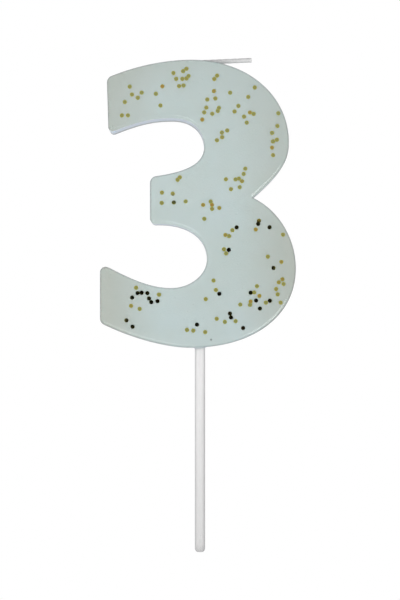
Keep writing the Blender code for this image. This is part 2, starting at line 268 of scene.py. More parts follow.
def curve_between(start, start_heading, end, end_heading, fullness):
    """The points strictly between two knots, evenly spaced, closer together near the stick's axis."""
    along = heading(start_heading)
    into = heading(end_heading)
    span = end - start
    parallel = along.cross(into)
    if abs(parallel) < NEARLY_PARALLEL:
        handle_out = start + span / 3
        handle_in = end - span / 3
    else:
        meeting = start + along * (span.cross(into) / parallel)
        handle_out = start.lerp(meeting, fullness)
        handle_in = end.lerp(meeting, fullness)
    fine = [Vector(p) for p in interpolate_bezier(start, handle_out, handle_in, end, CURVE_SAMPLES)]
    points = []
    travelled = 0.0
    for before, point in zip(fine, fine[1:]):
        travelled += (point - before).length
        step = OUTLINE_FINE_STEP if abs(point.x) < FINE_REACH else OUTLINE_STEP
        if travelled >= step and (end - point).length > step / 2:
            points.append(point)
            travelled = 0.0
    return points


def numeral_knots():
    """The outline's knots, clockwise from the upper arm's tip: place (x, h), the heading on arriving and on
    leaving (0 is +X, 90 is up), the fullness of the curve that leaves (0.55 is close to an ellipse, more is
    squarer) and the radius of the corner, or 0 where the outline runs on or stays sharp."""
    bar_top = BAR_HEIGHT + BAR_THICKNESS
    upper_tip = NUMERAL_HEIGHT - UPPER_ARM_DROP
    return (
        (-UPPER_ARM_REACH, upper_tip, 90, 22, 0.65, 2.5),
        (-3.0, NUMERAL_HEIGHT, 0, 0, 0.57, 0),
        (UPPER_BOWL_REACH, UPPER_BOWL_HEIGHT, -90, -90, 0.8, 0),
        (WAIST_REACH, WAIST_HEIGHT, -139, -25, 0.6, 0),
        (LOWER_BOWL_REACH, LOWER_BOWL_HEIGHT, -90, -90, 0.6, 0),
        (-3.5, 0.0, 180, 180, 0.6, 0),
        (-LOWER_ARM_REACH, LOWER_ARM_HEIGHT, 154, 90, 0, 2.5),
        (-LOWER_ARM_REACH, LOWER_ARM_HEIGHT + LOWER_ARM_END, 90, -28, 0.7, 2),
        (-10.5, BASE_STROKE, 0, 0, 0.55, 0),
        (LOWER_BOWL_REACH - LOWER_BOWL_STROKE, 32.0, 90, 90, 0.6, 0),
        (-BAR_REACH, BAR_HEIGHT, 182, 90, 0, 2),
        (-BAR_REACH, bar_top, 90, 8, 0.7, 2.5),
        (UPPER_BOWL_REACH - UPPER_BOWL_STROKE, 72.5, 90, 90, 0.6, 0),
        (-10.0, NUMERAL_HEIGHT - CROWN_STROKE, 180, 180, 0.75, 0),
        (UPPER_ARM_LEAN - UPPER_ARM_REACH, upper_tip - UPPER_ARM_END, -158, 90, 0, 1.5),
    )


def numeral_outline():
    """The closed outline of the numeral, clockwise as seen from the front, in millimetres."""
    knots = numeral_knots()
    corners = [rounded_corner(knot) for knot in knots]
    points = []
    for index, knot in enumerate(knots):
        following = (index + 1) % len(knots)
        points += corners[index]
        points += curve_between(
            corners[index][-1], knot[3], corners[following][0], knots[following][2], knot[4]
        )
    return points


OUTLINE = numeral_outline()


def inward_mitres(outline):
    """For each point, the step that moves it 1 mm into the wax."""
    mitres = []
    for index, point in enumerate(outline):
        before = (point - outline[index - 1]).normalized()
        after = (outline[(index + 1) % len(outline)] - point).normalized()
        normal_before = Vector((before.y, -before.x))
        normal_after = Vector((after.y, -after.x))
        mitre = (normal_before + normal_after).normalized()
        mitres.append(mitre / max(mitre.dot(normal_before), SHARPEST_MITRE))
    return mitres


MITRES = inward_mitres(OUTLINE)


def inset_outline(distance):
    """The outline moved into the wax."""
    return [point + mitre * distance for point, mitre in zip(OUTLINE, MITRES)]


def inside(point, outline):
    """Whether a point is within a closed outline."""
    crossings = 0
    for start, end in zip(outline, outline[1:] + outline[:1]):
        if (start.y > point.y) != (end.y > point.y):
            crossings += point.x < start.x + (point.y - start.y) * (end.x - start.x) / (end.y - start.y)
    return crossings % 2 == 1


def edge_distance(point, outline):
    """The least distance from a point to an outline's points, near enough at their close spacing."""
    return min((point - other).length for other in outline)


def distance_inside(point):
    """How far a point of the front or the back lies from the numeral's outline."""
    return edge_distance(Vector((point.x, point.z)), OUTLINE[::2])


def smoothstep(value):
    """A smooth rise from 0 at 0 to 1 at 1."""
    value = min(max(value, 0.0), 1.0)
    return value * value * (3 - 2 * value)


def place(x, h, y):
    """A point of the numeral's plane in millimetres, at depth y in millimetres, in the frame's metres."""
    return Vector((x * MM, y * MM, h * MM + WAX_LOW.z))


def cap_fill(outline):
    """Fill an outline with triangles over a grid of inner points: (points, triangles), the outline first."""
    low_x = min(p.x for p in outline)
    high_x = max(p.x for p in outline)
    low_h = min(p.y for p in outline)
    high_h = max(p.y for p in outline)
    points = list(outline)
    rows = int((high_h - low_h) / CAP_ROW_SPACING) + 1
    columns = int((high_x - low_x) / CAP_SPACING) + 1
    coarse = outline[::2]
    for row in range(rows):
        for column in range(columns):
            x = low_x + (column + 0.5 * (row % 2)) * CAP_SPACING
            point = Vector((x, low_h + row * CAP_ROW_SPACING))
            if inside(point, coarse) and edge_distance(point, coarse) > CAP_CLEARANCE:
                points.append(point)
    count = len(outline)
    edges = [(index, (index + 1) % count) for index in range(count)]
    only_inside = 1
    merge_distance = 1e-6
    filled = delaunay_2d_cdt(points, edges, [list(range(count))], only_inside, merge_distance)
    return filled[0], filled[2]


def mesh_object(name, verts, faces, material, sharp_deg=35):
    """A smooth-shaded object of the given mesh."""
    mesh = bpy.data.meshes.new(name)
    mesh.from_pydata(verts, [], faces)
    mesh.validate()
    mesh.materials.append(material)
    mesh.shade_smooth()
    mesh.set_sharp_from_angle(angle=math.radians(sharp_deg))
    obj = bpy.data.objects.new(name, mesh)
    bpy.context.scene.collection.objects.link(obj)
    return obj


def band_faces(first, second, sides, flipped=False):
    """The faces between two rings of points, each ring given by the number of its first point."""
    faces = []
    for side in range(sides):
        after = (side + 1) % sides
        if flipped:
            faces.append((first + side, second + side, second + after, first + after))
        else:
            faces.append((first + side, first + after, second + after, second + side))
    return faces


def tube_faces(rings, sides):
    """The faces between successive rings of points, the first ring starting at point 0."""
    faces = []
    for ring in range(rings - 1):
        faces += band_faces(ring * sides, (ring + 1) * sides, sides)
    return faces


def fan_faces(hub, rim, sides, flipped=False):
    """The triangles from a hub point to the ring of points that starts at the point numbered rim."""
    faces = []
    for side in range(sides):
        edge = (rim + side, rim + (side + 1) % sides)
        faces.append((hub, *reversed(edge)) if flipped else (hub, *edge))
    return faces


def layered_solid(name, profile, front_shape, back_shape, wall_shape, material, sharp_deg=35):
    """A solid of the numeral's outline. The profile is (inset, y) from front to back, in millimetres; the
    shapes move a point of the front, the back or the walls to where its surface really lies."""
    count = len(OUTLINE)
    verts = []
    for inset, y in profile:
        verts += [wall_shape(Vector((p.x, y, p.y)), m) for p, m in zip(inset_outline(inset), MITRES)]
    faces = tube_faces(len(profile), count)
    for (inset, y), ring_start, shape, facing in (
        (profile[0], 0, front_shape, 1),
        (profile[-1], (len(profile) - 1) * count, back_shape, -1),
    ):
        points, triangles = cap_fill(inset_outline(inset))
        numbers = {}
        for index, point in enumerate(points):
            if index < count:
                numbers[index] = ring_start + index
            else:
                numbers[index] = len(verts)
                verts.append(shape(Vector((point.x, y, point.y))))
        for triangle in triangles:
            a, b, c = (points[i] for i in triangle)
            turn = (b - a).cross(c - a)
            ordered = triangle if turn * facing > 0 else reversed(triangle)
            faces.append(tuple(numbers[i] for i in ordered))
    return mesh_object(name, [place(v.x, v.z, v.y) for v in verts], faces, material, sharp_deg)


# ---------------------------------------------------------------- materials


def node_material(name):
    """A new material with its node tree and its Principled shader."""
    material = bpy.data.materials.new(name)
    material.use_nodes = True
    tree = material.node_tree
    return material, tree, tree.nodes["Principled BSDF"]


def add_node(tree, kind, **values):
    """A node, with its settings and input defaults by name."""
    node = tree.nodes.new(kind)
    for key, value in values.items():
        if key in node.inputs:
            node.inputs[key].default_value = value
        else:
            setattr(node, key, value)
    return node


def object_place(tree):
    """The frame's coordinates of the point being shaded, in metres."""
    return add_node(tree, "ShaderNodeTexCoord").outputs["Object"]


def noise_node(tree, scale, detail=2.0, roughness=0.5, stretch=(1, 1, 1)):
    """Noise in the frame's coordinates; scale is in waves per metre."""
    mapping = add_node(tree, "ShaderNodeMapping", Scale=stretch)
    texture = add_node(tree, "ShaderNodeTexNoise", Scale=scale, Detail=detail, Roughness=roughness)
    tree.links.new(object_place(tree), mapping.inputs["Vector"])
    tree.links.new(mapping.outputs["Vector"], texture.inputs["Vector"])
    return texture


def mix_colours(tree, factor, first, second):
    """A colour between two others; each may be a colour or a socket."""
    mix = add_node(tree, "ShaderNodeMix", data_type="RGBA")
    for socket, value in ((mix.inputs[0], factor), (mix.inputs[6], first), (mix.inputs[7], second)):
        if isinstance(value, bpy.types.NodeSocket):
            tree.links.new(value, socket)
        elif isinstance(value, (int, float)):
            socket.default_value = value
        else:
            socket.default_value = (*value, 1.0)
    return mix.outputs[2]


def remap(tree, value, from_low, from_high, to_low, to_high):
    """A value carried from one range to another, clamped."""
    node = add_node(tree, "ShaderNodeMapRange")
    tree.links.new(value, node.inputs["Value"])
    node.inputs["From Min"].default_value = from_low
    node.inputs["From Max"].default_value = from_high
    node.inputs["To Min"].default_value = to_low
    node.inputs["To Max"].default_value = to_high
    return node.outputs["Result"]


def spread(tree, texture, low=0, high=1):
    """A noise texture's value, carried from the range that it mostly keeps to another."""
    return remap(tree, texture.outputs["Fac"], 0.3, 0.7, low, high)


def glow_within(shader, weight, radius, scale):
    """Let light spread under the surface; the scale is in metres."""
    shader.inputs["Subsurface Weight"].default_value = weight
    shader.inputs["Subsurface Radius"].default_value = radius
    shader.inputs["Subsurface Scale"].default_value = scale


def bump(tree, height, distance, strength=1.0, after=None):
    """A bump normal from a height, laid over another normal if one is given."""
    node = add_node(tree, "ShaderNodeBump", Distance=distance, Strength=strength)
    tree.links.new(height, node.inputs["Height"])
    if after is not None:
        tree.links.new(after, node.inputs["Normal"])
    return node.outputs["Normal"]


def combine(tree, operation, first, second):
    """Two values, multiplied or added."""
    node = add_node(tree, "ShaderNodeMath", operation=operation)
    tree.links.new(first, node.inputs[0])
    tree.links.new(second, node.inputs[1])
    return node.outputs[0]


def multiply(tree, first, second):
    """The product of two values."""
    return combine(tree, "MULTIPLY", first, second)


def add(tree, first, second):
    """The sum of two values."""
    return combine(tree, "ADD", first, second)


def object_axis(tree, axis):
    """One of the frame's coordinates, in metres."""
    separate = add_node(tree, "ShaderNodeSeparateXYZ")
    tree.links.new(object_place(tree), separate.inputs[0])
    return separate.outputs[axis]


def magnitude(tree, value):
    """A value without its sign."""
    node = add_node(tree, "ShaderNodeMath", operation="ABSOLUTE")
    tree.links.new(value, node.inputs[0])
    return node.outputs[0]


def grazing(tree, from_facing, to_facing):
    """A value that rises from 0 to 1 as the surface turns away from the eye."""
    facing = add_node(tree, "ShaderNodeLayerWeight", Blend=0.5)
    return remap(tree, facing.outputs["Facing"], from_facing, to_facing, 0, 1)


def rim_shade_mask(tree):
    """How much painted shade darkens the coat's rounded edge: a value that rises from 0 to 1 over that edge,
    where the side wall lies behind it as seen by the eye. It is 0 on the flat face and where the wall shows."""
    geometry = add_node(tree, "ShaderNodeNewGeometry")
    parts = add_node(tree, "ShaderNodeSeparateXYZ")
    tree.links.new(geometry.outputs["Normal"], parts.inputs[0])
    turned = remap(tree, magnitude(tree, parts.outputs["Y"]), *EDGE_TURN, 0, 1)
    flatten = add_node(tree, "ShaderNodeVectorMath", operation="MULTIPLY")
    tree.links.new(geometry.outputs["Normal"], flatten.inputs[0])
    flatten.inputs[1].default_value = (1, 0, 1)
    outward = add_node(tree, "ShaderNodeVectorMath", operation="NORMALIZE")
    tree.links.new(flatten.outputs[0], outward.inputs[0])
    product = add_node(tree, "ShaderNodeVectorMath", operation="DOT_PRODUCT")
    tree.links.new(outward.outputs[0], product.inputs[0])
    tree.links.new(geometry.outputs["Incoming"], product.inputs[1])
    return multiply(tree, turned, remap(tree, product.outputs["Value"], *WALL_TURN, 1, 0))


def painted_outer_shade(tree):
    """How much painted shade greys the wax: more towards the numeral's sides and its crown, stronger or
    weaker in broad patches.
    """
    to_sides = remap(tree, magnitude(tree, object_axis(tree, "X")), 14 * MM, 33 * MM, 0, 1)
    to_crown = remap(tree, object_axis(tree, "Z"), WAX_HIGH.z - 16 * MM, WAX_HIGH.z - 1 * MM, 0, 0.35)
    broad = noise_node(tree, 22, detail=1)
    patches = remap(tree, broad.outputs["Fac"], 0.35, 0.6, 0.6, 1)
    return multiply(tree, add(tree, to_sides, to_crown), patches)


def painted_pinhole_shade(tree):
    """1 in the wax's pinhole, where its shade is painted as a dark spot, and 0 round it."""
    away = add_node(tree, "ShaderNodeVectorMath", operation="DISTANCE")
    tree.links.new(object_place(tree), away.inputs[0])
    away.inputs[1].default_value = place(*PINHOLE, WAX_LOW.y / MM)
    return remap(tree, away.outputs["Value"], 0.2 * MM, 0.5 * MM, 1, 0)


def wax_pits(tree):
    """The casting's pits: the surface's height, and the painted shade that darkens the bottoms of a few of
    them off the coat.
    """
    pits = add_node(tree, "ShaderNodeTexVoronoi", Scale=300)
    tree.links.new(object_place(tree), pits.inputs["Vector"])
    height = remap(tree, pits.outputs["Distance"], 0.05, 0.13, 0, 1)
    few = remap(tree, pits.outputs["Color"], 0.55, 0.60, 0, 1)
    uncoated = remap(tree, object_axis(tree, "Y"), WAX_LOW.y + 0.5 * MM, WAX_LOW.y + 1.0 * MM, 0, 1)
    pit_shade = multiply(tree, multiply(tree, few, uncoated), remap(tree, height, 0, 1, 0.45, 0))
    return height, pit_shade


def wax_material():
    """Pale aqua paraffin: faint clouding, a soft satin surface and fine casting grain, with painted shade
    towards the sides, the crown, the back edge, the pinhole and a few pits, and a painted sheen where the
    wall is seen edge-on.
    """
    material, tree, shader = node_material("aqua_wax")
    # where the surface is seen edge-on: it places the painted sheen and, near the back, the painted shade
    edge_on = grazing(tree, 0.72, 0.84)
    # painted shade along the wall close to the back, where it is seen edge-on
    near_back = remap(tree, object_axis(tree, "Y"), 1.4 * MM, 3.2 * MM, 0, 1)
    painted_back_shade = multiply(tree, near_back, edge_on)
    pit_height, painted_pit_shade = wax_pits(tree)
    clouds = noise_node(tree, 70, detail=3)
    colour = mix_colours(tree, spread(tree, clouds), WAX_CLOUDED, WAX_CLEAR)
    for share, other in (
        # painted shade towards the sides and the crown
        (painted_outer_shade(tree), WAX_OUTER_SHADE),
        (edge_on, WAX_EDGE_ON_SHEEN),
        (painted_back_shade, WAX_BACK_EDGE_SHADE),
        (painted_pinhole_shade(tree), WAX_PINHOLE_SHADE),
        (painted_pit_shade, WAX_PIT_SHADE),
    ):
        colour = mix_colours(tree, share, colour, other)
    tree.links.new(colour, shader.inputs["Base Color"])
    tree.links.new(remap(tree, painted_back_shade, 0, 1, 0.5, 0.05), shader.inputs["Specular IOR Level"])
    grain = noise_node(tree, 900, detail=4, roughness=0.6)
    tree.links.new(spread(tree, grain, 0.34, 0.46), shader.inputs["Roughness"])
    normal = bump(tree, grain.outputs["Fac"], 0.00006)
    normal = bump(tree, pit_height, 0.00008, 0.6, normal)
    tree.links.new(normal, shader.inputs["Normal"])
    glow_within(shader, 0.35, (0.8, 1.0, 1.0), 0.0012)
    return material


def coat_material():
    """Clear gloss: see-through with a faint tint, with painted shade where its edge hides the wall, and with
    a reflection that grows towards grazing."""
    material, tree, _ = node_material("clear_gloss")
    tree.nodes.clear()
    output = add_node(tree, "ShaderNodeOutputMaterial")
    ripples = noise_node(tree, 130, detail=1)
    normal = bump(tree, ripples.outputs["Fac"], 0.00006)
    fresnel = add_node(tree, "ShaderNodeFresnel", IOR=1.46)
    tree.links.new(normal, fresnel.inputs["Normal"])
    geometry = add_node(tree, "ShaderNodeNewGeometry")
    front_only = remap(tree, geometry.outputs["Backfacing"], 0, 1, 1, 0)
    share = multiply(tree, fresnel.outputs[0], front_only)
    clear = add_node(tree, "ShaderNodeBsdfTransparent")
    # the faint tint, with painted shade over the rounded edge where it hides the wall
    tint = mix_colours(tree, rim_shade_mask(tree), COAT_TINT, COAT_EDGE_SHADE)
    tree.links.new(tint, clear.inputs["Color"])
    gloss = add_node(tree, "ShaderNodeBsdfGlossy", Roughness=0.06)
    gloss.inputs["Color"].default_value = WHITE
    tree.links.new(normal, gloss.inputs["Normal"])
    mix = add_node(tree, "ShaderNodeMixShader")
    tree.links.new(share, mix.inputs[0])
    tree.links.new(clear.outputs[0], mix.inputs[1])
    tree.links.new(gloss.outputs[0], mix.inputs[2])
    tree.links.new(mix.outputs[0], output.inputs["Surface"])
    return material


def foil_material():
    """Mirror gold foil whose tone drifts from olive to amber from one sequin to the next, with a painted
    highlight that makes it paler towards each sequin's rim."""
    material, tree, shader = node_material("gold_foil")
    geometry = add_node(tree, "ShaderNodeNewGeometry")
    ramp = add_node(tree, "ShaderNodeValToRGB")
    ramp.color_ramp.elements[0].color = FOIL_OLIVE
    ramp.color_ramp.elements[1].color = FOIL_AMBER
    middle = ramp.color_ramp.elements.new(0.75)
    middle.color = FOIL_GOLD
    tree.links.new(geometry.outputs["Random Per Island"], ramp.inputs["Fac"])
    from_centre = add_node(tree, "ShaderNodeAttribute", attribute_name="from_centre")
    # painted highlight: paler towards the sequin's rim
    rim = remap(tree, from_centre.outputs["Fac"], 0.5, 0.95, 0, 1)
    colour = mix_colours(tree, rim, ramp.outputs["Color"], FOIL_RIM_HIGHLIGHT)
    tree.links.new(colour, shader.inputs["Base Color"])
    shader.inputs["Metallic"].default_value = 1.0
    scuffs = noise_node(tree, 2500, detail=2)
    tree.links.new(spread(tree, scuffs, 0.04, 0.09), shader.inputs["Roughness"])
    return material


def wick_material():
    """White cotton under a thin skin of wax, with painted shade where its sides turn from the eye."""
    material, tree, shader = node_material("waxed_cotton")
    fibres = noise_node(tree, 4000, detail=3)
    colour = mix_colours(tree, spread(tree, fibres), COTTON_DARK, COTTON_PALE)
    # painted shade where the sides turn from the eye
    colour = mix_colours(tree, grazing(tree, 0.15, 0.8), colour, COTTON_EDGE_SHADE)
    tree.links.new(colour, shader.inputs["Base Color"])
    shader.inputs["Roughness"].default_value = 0.42
    glow_within(shader, 0.4, (1, 1, 1), 0.0005)
    tree.links.new(bump(tree, fibres.outputs["Fac"], 0.00005), shader.inputs["Normal"])
    return material


def stick_material():
    """Milky extruded plastic with faint lines along its length, with painted shade towards its foot and on
    its sides.
    """
    material, tree, shader = node_material("white_plastic")
    lines = noise_node(tree, 1500, detail=2, stretch=(1, 1, 0.02))
    colour = mix_colours(tree, spread(tree, lines), PLASTIC_DARK, PLASTIC_PALE)
    height = object_axis(tree, "Z")
    # painted shade, growing towards the foot and strongest at it
    colour = mix_colours(tree, remap(tree, height, 0, 70 * MM, 0.6, 0), colour, PLASTIC_LOW_SHADE)
    colour = mix_colours(tree, remap(tree, height, 0, 3 * MM, 0.8, 0), colour, PLASTIC_FOOT_SHADE)
    # painted shade where the sides turn from the eye
    colour = mix_colours(tree, grazing(tree, 0.2, 0.9), colour, PLASTIC_EDGE_SHADE)
    tree.links.new(colour, shader.inputs["Base Color"])
    tree.links.new(remap(tree, height, 0, 4 * MM, 0.15, 0.5), shader.inputs["Specular IOR Level"])
    shader.inputs["Roughness"].default_value = 0.28
    glow_within(shader, 0.5, (1, 0.95, 0.97), 0.0015)
    tree.links.new(bump(tree, lines.outputs["Fac"], 0.00003), shader.inputs["Normal"])
    return material


# ---------------------------------------------------------------- the candle's pieces


def hand_over(piece, slot, *nodes):
    """Fix a piece to the candle's body, in place of the frame's nodes."""
    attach(piece, "candle")
    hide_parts(*nodes)


def sunk_for_wick(point, surface_h):
    """The height of the crown at a point once the wick's trough is pressed into it, in millimetres."""
    rise = math.tan(math.radians(WICK_RISE))
    centre_h = (FOLD.z - WAX_LOW.z) / MM + rise * max(point.x, 0.0)
    behind = max(-point.x, 0.0)
    off = math.hypot(point.y, behind)
    if off < TROUGH_RADIUS:
        floor = centre_h - math.sqrt(TROUGH_RADIUS ** 2 - off ** 2)
    else:
        floor = centre_h + TROUGH_SIDE_SLOPE * (off - TROUGH_RADIUS)
    gap = smoothstep(0.5 + (surface_h - floor) / (2 * TROUGH_LIP))
    return surface_h + (min(floor, surface_h) - surface_h) * gap


def wax_wall(point, mitre):
    """The casting's wall, with faint ripples, the wick's trough and the lip round the stick."""
    ripple = WALL_RIPPLE * (noise.noise(point * WALL_BROAD_WAVES) + noise.noise(point * WALL_FINE_WAVES) / 3)
    moved = Vector((point.x + mitre.x * ripple, point.y, point.z + mitre.y * ripple))
    if abs(moved.x) < TROUGH_REACH and moved.z > NUMERAL_HEIGHT - CROWN_STROKE / 2:
        moved.z = sunk_for_wick(moved, moved.z)
    beside = math.hypot(moved.x, moved.y) - STICK_RADIUS
    if moved.z < BASE_STROKE / 2 and beside < STICK_LIP_REACH:
        moved.z -= STICK_LIP * math.exp(-max(beside, 0.0) / STICK_LIP_WIDTH)
    return moved


def wax_back(point):
    """The poured back, slightly hollow and not quite flat."""
    depth = BACK_HOLLOW * smoothstep(distance_inside(point) / BACK_HOLLOW_REACH)
    uneven = BACK_UNEVENNESS * noise.noise(Vector((point.x, 0, point.z)) * BACK_WAVES)
    return Vector((point.x, point.y - depth + uneven * smoothstep(depth / BACK_HOLLOW), point.z))


def wall_depths(front, back):
    """The depths of the wall's rings, closer together round the wick and the stick."""
    depths = []
    y = front
    while y < back - WALL_LAST_GAP:
        depths.append(y)
        y += WALL_FINE_SPACING if abs(y) < WALL_FINE_REACH else WALL_SPACING
    return depths + [back]


def make_wax(material):
    """The cast wax numeral."""
    front = WAX_LOW.y / MM
    back = WAX_HIGH.y / MM
    profile = [(0.0, y) for y in wall_depths(front, back - BACK_EDGE_RADIUS)]
    for step in range(1, BACK_EDGE_STEPS + 1):
        angle = math.radians(90 * step / BACK_EDGE_STEPS)
        profile.append((
            BACK_EDGE_RADIUS * (1 - math.cos(angle)),
            back - BACK_EDGE_RADIUS * (1 - math.sin(angle)),
        ))
    wax = layered_solid("cast_wax", profile, lambda p: p, wax_back, wax_wall, material)
    hand_over(wax, "aqua_wax", "wax_body")


def coat_front(point):
    """The coat's face, which the gel leaves very slightly uneven."""
    flat = Vector((point.x, 0, point.z))
    settled = smoothstep(distance_inside(point) / COAT_SETTLING)
    uneven = noise.noise(flat * COAT_BROAD_WAVES) + COAT_FINE_SHARE * noise.noise(flat * COAT_FINE_WAVES)
    return Vector((point.x, point.y + COAT_RIPPLE * uneven * settled, point.z))


def make_coat(material):
    """The clear coat over the front, rounded along its front edge."""
    front = COAT_FRONT / MM
    wax_front = WAX_LOW.y / MM
    profile = []
    for step in range(EDGE_STEPS + 1):
        angle = math.radians(90 * step / EDGE_STEPS)
        profile.append((EDGE_WIDTH * (1 - math.sin(angle)), front + EDGE_DEPTH * (1 - math.cos(angle))))
    profile.append((0.0, wax_front - COAT_GAP))
    coat = layered_solid("gel_coat", profile, coat_front, lambda p: p, lambda p, m: p, material, 60)
    hand_over(coat, "clear_gloss", "clear_coat")


def sequin_places():
    """Each sequin's centre in millimetres: the ones in the frame, then further ones scattered near them, so
    that they lie in the same loose drifts."""
    draw = random.Random(SEQUIN_SEED)
    in_frame = []
    for name in SEQUIN_NODES:
        low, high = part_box(name)
        in_frame.append(Vector(((low.x + high.x) / 2 / MM, ((low.z + high.z) / 2 - WAX_LOW.z) / MM)))
    centres = list(in_frame)
    while len(centres) < SEQUIN_COUNT:
        away = heading(draw.uniform(0, 360)) * draw.uniform(SEQUIN_SPACING, SEQUIN_DRIFT)
        point = draw.choice(in_frame) + away
        apart = all((point - other).length > SEQUIN_SPACING for other in centres)
        if apart and inside(point, OUTLINE) and edge_distance(point, OUTLINE) > SEQUIN_MARGIN:
            centres.append(point)
    return centres


def add_disc(verts, faces, centre, normal, cup):
    """Add one thin round disc to a mesh, slightly cupped; sizes in millimetres."""
    turn = normal.to_track_quat("Z", "Y").to_matrix()
    sides = SEQUIN_SIDES
    start = len(verts)
    for facing in (1, -1):
        for ring in SEQUIN_RINGS:
            radius = SEQUIN_RADIUS * ring
            level = facing * SEQUIN_THICKNESS / 2 - cup * ring * ring
            for side in range(sides if ring else 1):
                angle = math.tau * side / sides
                local = Vector((radius * math.cos(angle), radius * math.sin(angle), level))
                verts.append(centre + turn @ local)
    half = (len(verts) - start) // 2
    for hub, is_front in ((start, True), (start + half, False)):
        faces += fan_faces(hub, hub + 1, sides, flipped=not is_front)
        for inner in range(hub + 1, hub + half - sides, sides):
            faces += band_faces(inner, inner + sides, sides, flipped=is_front)
    rim = start + half - sides
    faces += band_faces(rim, rim + half, sides, flipped=True)


def sequin_levels(centres):
    """Each sequin's level in the coat, counted from the wax: the lowest that no near neighbour has taken."""
    levels = []
    for index, centre in enumerate(centres):
        near = {levels[other] for other in range(index) if (centres[other] - centre).length < SEQUIN_NEAR}
        levels.append(min(set(range(SEQUIN_LEVELS)) - near))
    return levels


def make_sequins(material):
    """All the sequins, at one of several depths in the clear coat. Some lie flat and mirror whatever is
    straight in front of them. The rest lean outwards and mirror the room."""
    draw = random.Random(SEQUIN_SEED + 1)
    verts = []
    faces = []
    centres = sequin_places()
    for centre, level in zip(centres, sequin_levels(centres)):
        flat = draw.random() < FLAT_SHARE
        tilt = math.radians(draw.uniform(0, FLAT_TILT) if flat else draw.uniform(*LEANING_TILT))
        from_axis = math.atan2(centre.y - AXIS_HEIGHT, centre.x)
        around = from_axis + math.radians(draw.uniform(-LEANING_SPREAD, LEANING_SPREAD))
        lean = math.sin(tilt)
        normal = Vector((lean * math.cos(around), -math.cos(tilt), lean * math.sin(around)))
        y = WAX_LOW.y / MM - SEQUIN_FIRST_DEPTH - SEQUIN_LEVEL_DEPTH * level
        cup = draw.uniform(-SEQUIN_CUP, SEQUIN_CUP)
        add_disc(verts, faces, Vector((centre.x, y, centre.y)), normal, cup)
    sequins = mesh_object("gold_sequins", [place(v.x, v.z, v.y) for v in verts], faces, material)
    one_face = [ring for ring in SEQUIN_RINGS for _ in range(SEQUIN_SIDES if ring else 1)]
    from_centre = sequins.data.attributes.new("from_centre", "FLOAT", "POINT")
    from_centre.data.foreach_set("value", one_face * 2 * len(centres))
    hand_over(sequins, "gold_foil", *SEQUIN_NODES)


def wick_line():
    """The wick's centre line from inside the wax, round the fold and out to the cut end, in millimetres
    from the fold: (x, z, heading in degrees)."""
    length = (WICK_END - FOLD.x) / MM / math.cos(math.radians(WICK_RISE))
    buried = (FOLD.z - WICK_CORE_TOP) / MM
    turn = 90 - WICK_RISE
    setback = WICK_BEND_RADIUS * math.tan(math.radians(turn) / 2)
    line = [(0.0, -buried, 90.0)]
    bend_centre = Vector((WICK_BEND_RADIUS, -setback))
    for step in range(WICK_BEND_STEPS + 1):
        angle = 90 - turn * step / WICK_BEND_STEPS
        point = bend_centre + heading(angle + 90) * WICK_BEND_RADIUS
        line.append((point.x, point.y, angle))
    along = heading(WICK_RISE)
    travelled = setback
    while travelled < length:
        travelled = min(travelled + WICK_STEP, length)
        line.append((along.x * travelled, along.y * travelled, WICK_RISE))
    return line


def braid(along, angle):
    """The height of the braid's surface, from -1 to 1."""
    lay = math.tau * along / BRAID_LAY
    return max(math.cos(3 * angle + lay), math.cos(3 * angle - lay))


def make_wick(material):
    """The braided wick, from its root in the wax to its cut end."""
    verts = []
    travelled = 0.0
    line = wick_line()
    for index, (x, z, angle) in enumerate(line):
        if index:
            travelled += math.hypot(x - line[index - 1][0], z - line[index - 1][1])
        side_way = heading(angle + 90)
        for side in range(WICK_SIDES):
            around = math.tau * side / WICK_SIDES
            radius = WICK_RADIUS * (BRAID_MIDDLE + BRAID_HEIGHT * braid(travelled, around))
            across = radius * math.cos(around)
            verts.append(Vector((
                FOLD.x + (x + side_way.x * across) * MM,
                FOLD.y + radius * math.sin(around) * MM,
                FOLD.z + (z + side_way.y * across) * MM,
            )))
    faces = tube_faces(len(line), WICK_SIDES)
    for ring, bulge in ((0, 0.0), (len(line) - 1, WICK_END_BULGE)):
        x, z, angle = line[ring]
        hub = Vector((x, z)) + heading(angle) * bulge
        verts.append(Vector((FOLD.x + hub.x * MM, FOLD.y, FOLD.z + hub.y * MM)))
        faces += fan_faces(len(verts) - 1, ring * WICK_SIDES, WICK_SIDES, flipped=ring == 0)
    wick = mesh_object("waxed_wick", verts, faces, material, 60)
    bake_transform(wick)
    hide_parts("wick_tip")


def dress_wick_core(material):
    """Give the wick's length inside the wax, which stays the frame's own, the wick's material."""
    core = frame["nodes"]["wick_core"]
    core.data.materials.clear()
    core.data.materials.append(material)


